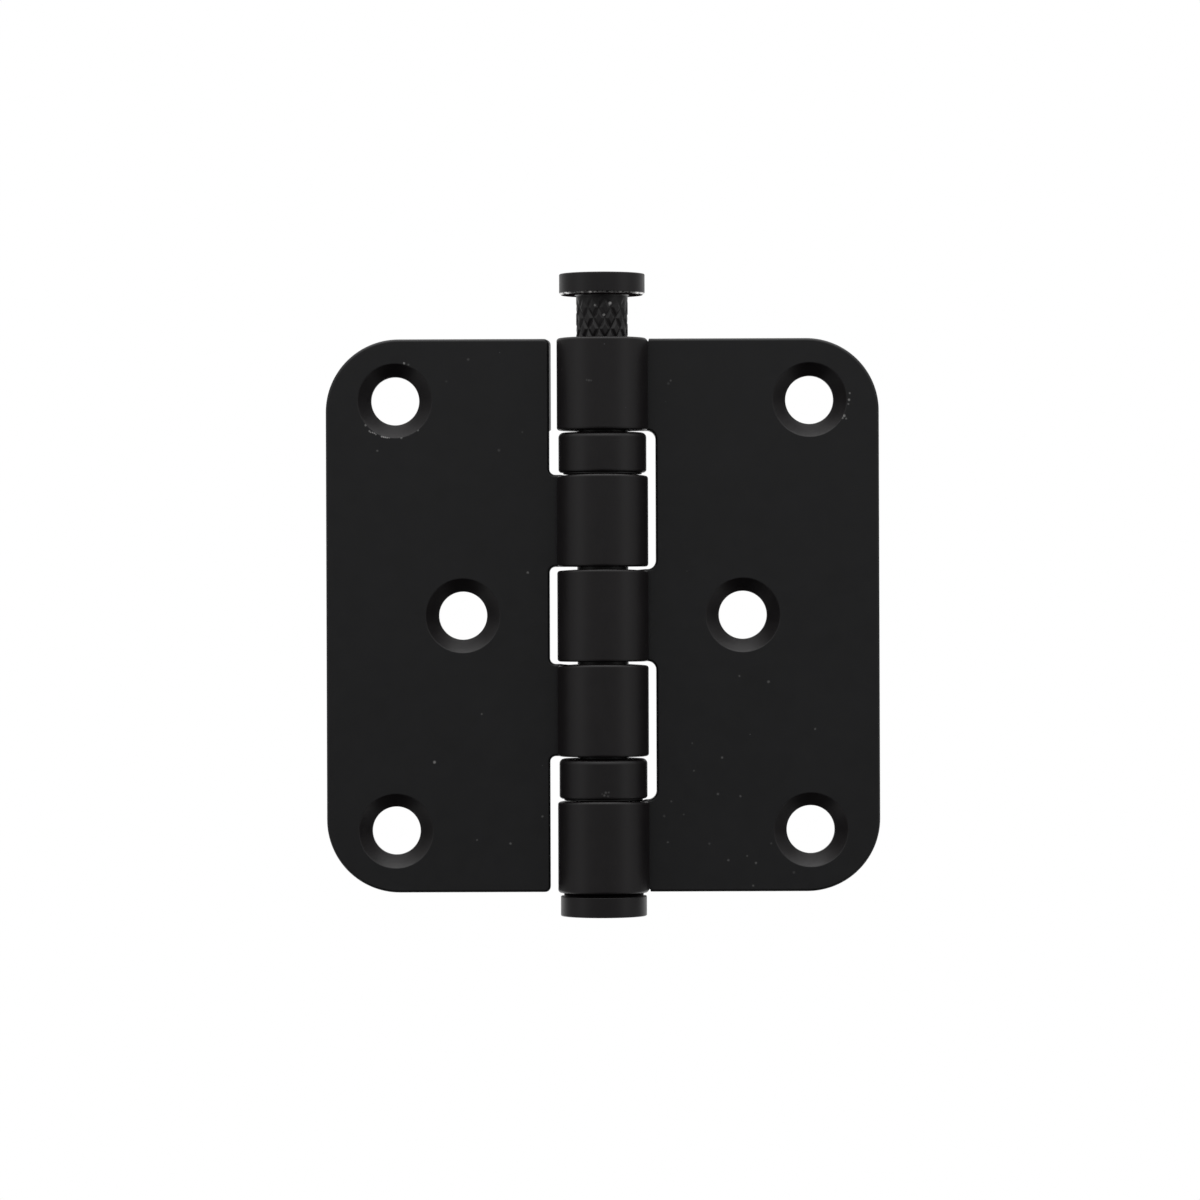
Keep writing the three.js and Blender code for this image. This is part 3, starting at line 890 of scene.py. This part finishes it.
FIXED_COAT = black_coat("fixed_leaf_coat", LEAF_DARK, LEAF_LIGHT, 0.4, marks=on_front(FIXED_MARKS))
SWING_COAT = black_coat("swing_leaf_coat", LEAF_DARK, LEAF_LIGHT, 0.4, marks=on_front(SWING_MARKS))
ROLLED_COAT = black_coat("rolled_coat", ROLLED_DARK, ROLLED_LIGHT, 0.38, marks=BARREL_MARKS)
COUNTERSINK_COAT = black_coat("countersink_coat", TURNED_DARK, TURNED_LIGHT, 0.33, turned=True)
TURNED_COAT = black_coat("turned_coat", TURNED_DARK, TURNED_LIGHT, 0.36, turned=True)
PIN_COAT = black_coat("pin_coat", TURNED_DARK, TURNED_LIGHT, 0.36, turned=True, marks=PIN_WEAR_AND_GLINTS)
SLEEVE_COAT = black_coat("sleeve_coat", TURNED_DARK, TURNED_LIGHT, 0.36, turned=True, marks=SLEEVE_MARKS)
WORN_CHAMFER_AND_GLINTS = worn_chamfer_and_glints(CHAMFER_GLINTS_AND_CHIPS)
UNDERSIDE_PAINTED_SHADE = underside_painted_shade()
RACE_STEEL = bare_steel("race_steel", RACE_COLOUR, 0.3)
BALL_STEEL = bare_steel("ball_steel", BALL_COLOUR, 0.12)


# The pieces

fixed_leaf = make_leaf(SPANS[0::2], FIXED_ROOT_RADIUS, False)
swing_leaf = make_leaf(SPANS[1::2], SWING_ROOT_RADIUS, True)
FIXED_FINISHES = (FIXED_COAT, COUNTERSINK_COAT, ROLLED_COAT)
SWING_FINISHES = (SWING_COAT, COUNTERSINK_COAT, ROLLED_COAT)
PIN_FINISHES = (PIN_COAT, UNDERSIDE_PAINTED_SHADE, WORN_CHAMFER_AND_GLINTS)
finish_piece("pressed_fixed_leaf", fixed_leaf, "fixed_side", "leaf_black", ["fixed_leaf"], *FIXED_FINISHES)
finish_piece("pressed_swing_leaf", swing_leaf, "swing_side", "leaf_black", ["swing_leaf"], *SWING_FINISHES)
finish_piece("knurled_pin", make_pin(), "pin", "pin_black", ["hinge_pin"], *PIN_FINISHES)
finish_piece("turned_tip", make_tip(), "fixed_side", "pin_black", ["bottom_tip"], TURNED_COAT)


def add_bearing(which, knuckle_above, sleeve_body, bottom_body):
    top = SPANS[knuckle_above][0] - BEARING_GAP
    pieces = (
        ("drawn_sleeve", "sleeve", make_sleeve, sleeve_body, "bearing_black", SLEEVE_COAT),
        ("ground_top_race", "top_race", make_top_race, sleeve_body, "race_steel", RACE_STEEL),
        ("ground_bottom_race", "bottom_race", make_bottom_race, bottom_body, "bearing_black", TURNED_COAT),
    )
    for name, node, make, body, slot, material in pieces:
        finish_piece(f"{which}_{name}", make(top), body, slot, [f"{which}_bearing_{node}"], material)
    for i in range(BALL_COUNT):
        node = f"{which}_bearing_ball_{i + 1:02d}"
        name = f"{which}_ball_{i + 1:02d}"
        finish_piece(name, make_ball(top, i), f"{which}_balls", "ball_steel", [node], BALL_STEEL)


add_bearing("upper", 0, "fixed_side", "swing_side")
add_bearing("lower", 3, "swing_side", "fixed_side")


# Floor, light and camera, in metres

FLOOR_HEIGHT = -0.24
FLOOR_RADIUS = 0.6
FLOOR_COLOUR = (0.86, 0.86, 0.86, 1)
FLOOR_ROUGHNESS = 0.8

# The white tent's strength by height, from 0 straight below to 1 straight above
TENT_TOP = 2.4
TENT_WALLS = ((0.005, 0.0), (0.07, 0.0), (0.15, 0.52), (0.5, 0.245), (0.85, 0.95), (0.995, TENT_TOP))
TENT_LEAST = 0.01
TENT_FRONT = (-0.5, -0.95)  # where the tent's front begins and is full
TENT_FRONT_SLOPE = 0.7
TENT_FRONT_LEVEL = 0.79
TENT_BEHIND = (0.35, 0.85)
TENT_BEHIND_LEVELS = (-0.6, 0.1, 1.6, 0.6)  # from this height to that, from this strength to that

# Name, place about the pin's axis, size and power
SOFTBOXES = (
    ("left_softbox", (-0.87, -0.5, 0.1), 0.5, 0.158),
    ("right_softbox", (0.87, -0.5, 0.1), 0.5, 0.178),
)

# The camera looks along +Y from a little left of the pin's axis and above its middle
VIEW_LEFT = 0.0004
VIEW_UP = 0.0021
VIEW_DISTANCE = 0.696
VIEW_ROLL = radians(0.2)
LENS, SENSOR_WIDTH = 152.2, 36


def add_floor():
    bm = bmesh.new()
    at = Matrix.Translation((PIN_AXIS.x, PIN_AXIS.y, FLOOR_HEIGHT))
    bmesh.ops.create_circle(bm, cap_ends=True, radius=FLOOR_RADIUS, segments=96, matrix=at)
    mesh = bpy.data.meshes.new("floor")
    bm.to_mesh(mesh)
    bm.free()
    floor_piece = bpy.data.objects.new("floor", mesh)
    bpy.context.collection.objects.link(floor_piece)
    pale = bpy.data.materials.new("pale_floor")
    pale.use_nodes = True
    shader = pale.node_tree.nodes["Principled BSDF"]
    shader.inputs["Base Color"].default_value = FLOOR_COLOUR
    shader.inputs["Roughness"].default_value = FLOOR_ROUGHNESS
    mesh.materials.append(pale)
    floor_piece.visible_glossy = False
    floor_piece.visible_diffuse = False


def add_world():
    """White to look at; for light and reflections a white tent, bright above and behind and dark below."""
    world = bpy.data.worlds.new("studio")
    bpy.context.scene.world = world
    world.use_nodes = True
    n = Nodes(world.node_tree)
    n.tree.nodes.clear()
    split = n.add("ShaderNodeSeparateXYZ")
    n.join(n.add("ShaderNodeTexCoord").outputs["Generated"], split.inputs[0])
    back, up = split.outputs["Y"], split.outputs["Z"]
    shade = n.add("ShaderNodeValToRGB")
    for place, level in TENT_WALLS:
        stop = shade.color_ramp.elements.new(place)
        stop.color = (level / TENT_TOP,) * 3 + (1,)
    for spare in (0, -1):
        shade.color_ramp.elements.remove(shade.color_ramp.elements[spare])
    n.join(n.ramp(up, -1, 1), shade.inputs[0])
    walls = n.math("MULTIPLY", shade.outputs["Color"], TENT_TOP)
    walls = n.math("MULTIPLY", walls, n.ramp(back, *TENT_FRONT, 1, TENT_FRONT_LEVEL))
    front = n.math("MULTIPLY", n.math("MULTIPLY", n.ramp(back, *TENT_FRONT), up), TENT_FRONT_SLOPE)
    tent = n.math("MAXIMUM", n.math("ADD", walls, front), TENT_LEAST)
    behind = n.ramp(back, *TENT_BEHIND, smooth=True)
    level = n.ramp(up, *TENT_BEHIND_LEVELS)
    tent = n.math("MULTIPLY", tent, n.math("SUBTRACT", 1.0, behind))
    tent = n.math("ADD", tent, n.math("MULTIPLY", behind, level))
    lit, seen = n.add("ShaderNodeBackground"), n.add("ShaderNodeBackground")
    n.join(tent, lit.inputs["Strength"])
    for background in (lit, seen):
        background.inputs["Color"].default_value = (1, 1, 1, 1)
    either = n.add("ShaderNodeMixShader")
    n.join(n.add("ShaderNodeLightPath").outputs["Is Camera Ray"], either.inputs[0])
    n.join(lit.outputs[0], either.inputs[1])
    n.join(seen.outputs[0], either.inputs[2])
    n.join(either.outputs[0], n.add("ShaderNodeOutputWorld").inputs[0])


def add_light(name, place, size, power):
    light = bpy.data.lights.new(name, "AREA")
    light.shape = "DISK"
    light.size = size
    light.energy = power
    lamp = bpy.data.objects.new(name, light)
    bpy.context.collection.objects.link(lamp)
    lamp.location = Vector(place) + PIN_AXIS
    lamp.rotation_euler = (-Vector(place)).to_track_quat("-Z", "Y").to_euler()


def add_camera():
    data = bpy.data.cameras.new("camera")
    data.sensor_width = SENSOR_WIDTH
    data.lens = LENS
    camera = bpy.data.objects.new("camera", data)
    bpy.context.collection.objects.link(camera)
    camera.location = PIN_AXIS + Vector((-VIEW_LEFT, -VIEW_DISTANCE, VIEW_UP))
    camera.rotation_euler = (pi / 2, VIEW_ROLL, 0)
    bpy.context.scene.camera = camera


add_floor()
add_world()
for softbox in SOFTBOXES:
    add_light(*softbox)
add_camera()
bpy.context.scene.view_settings.view_transform = "Standard"
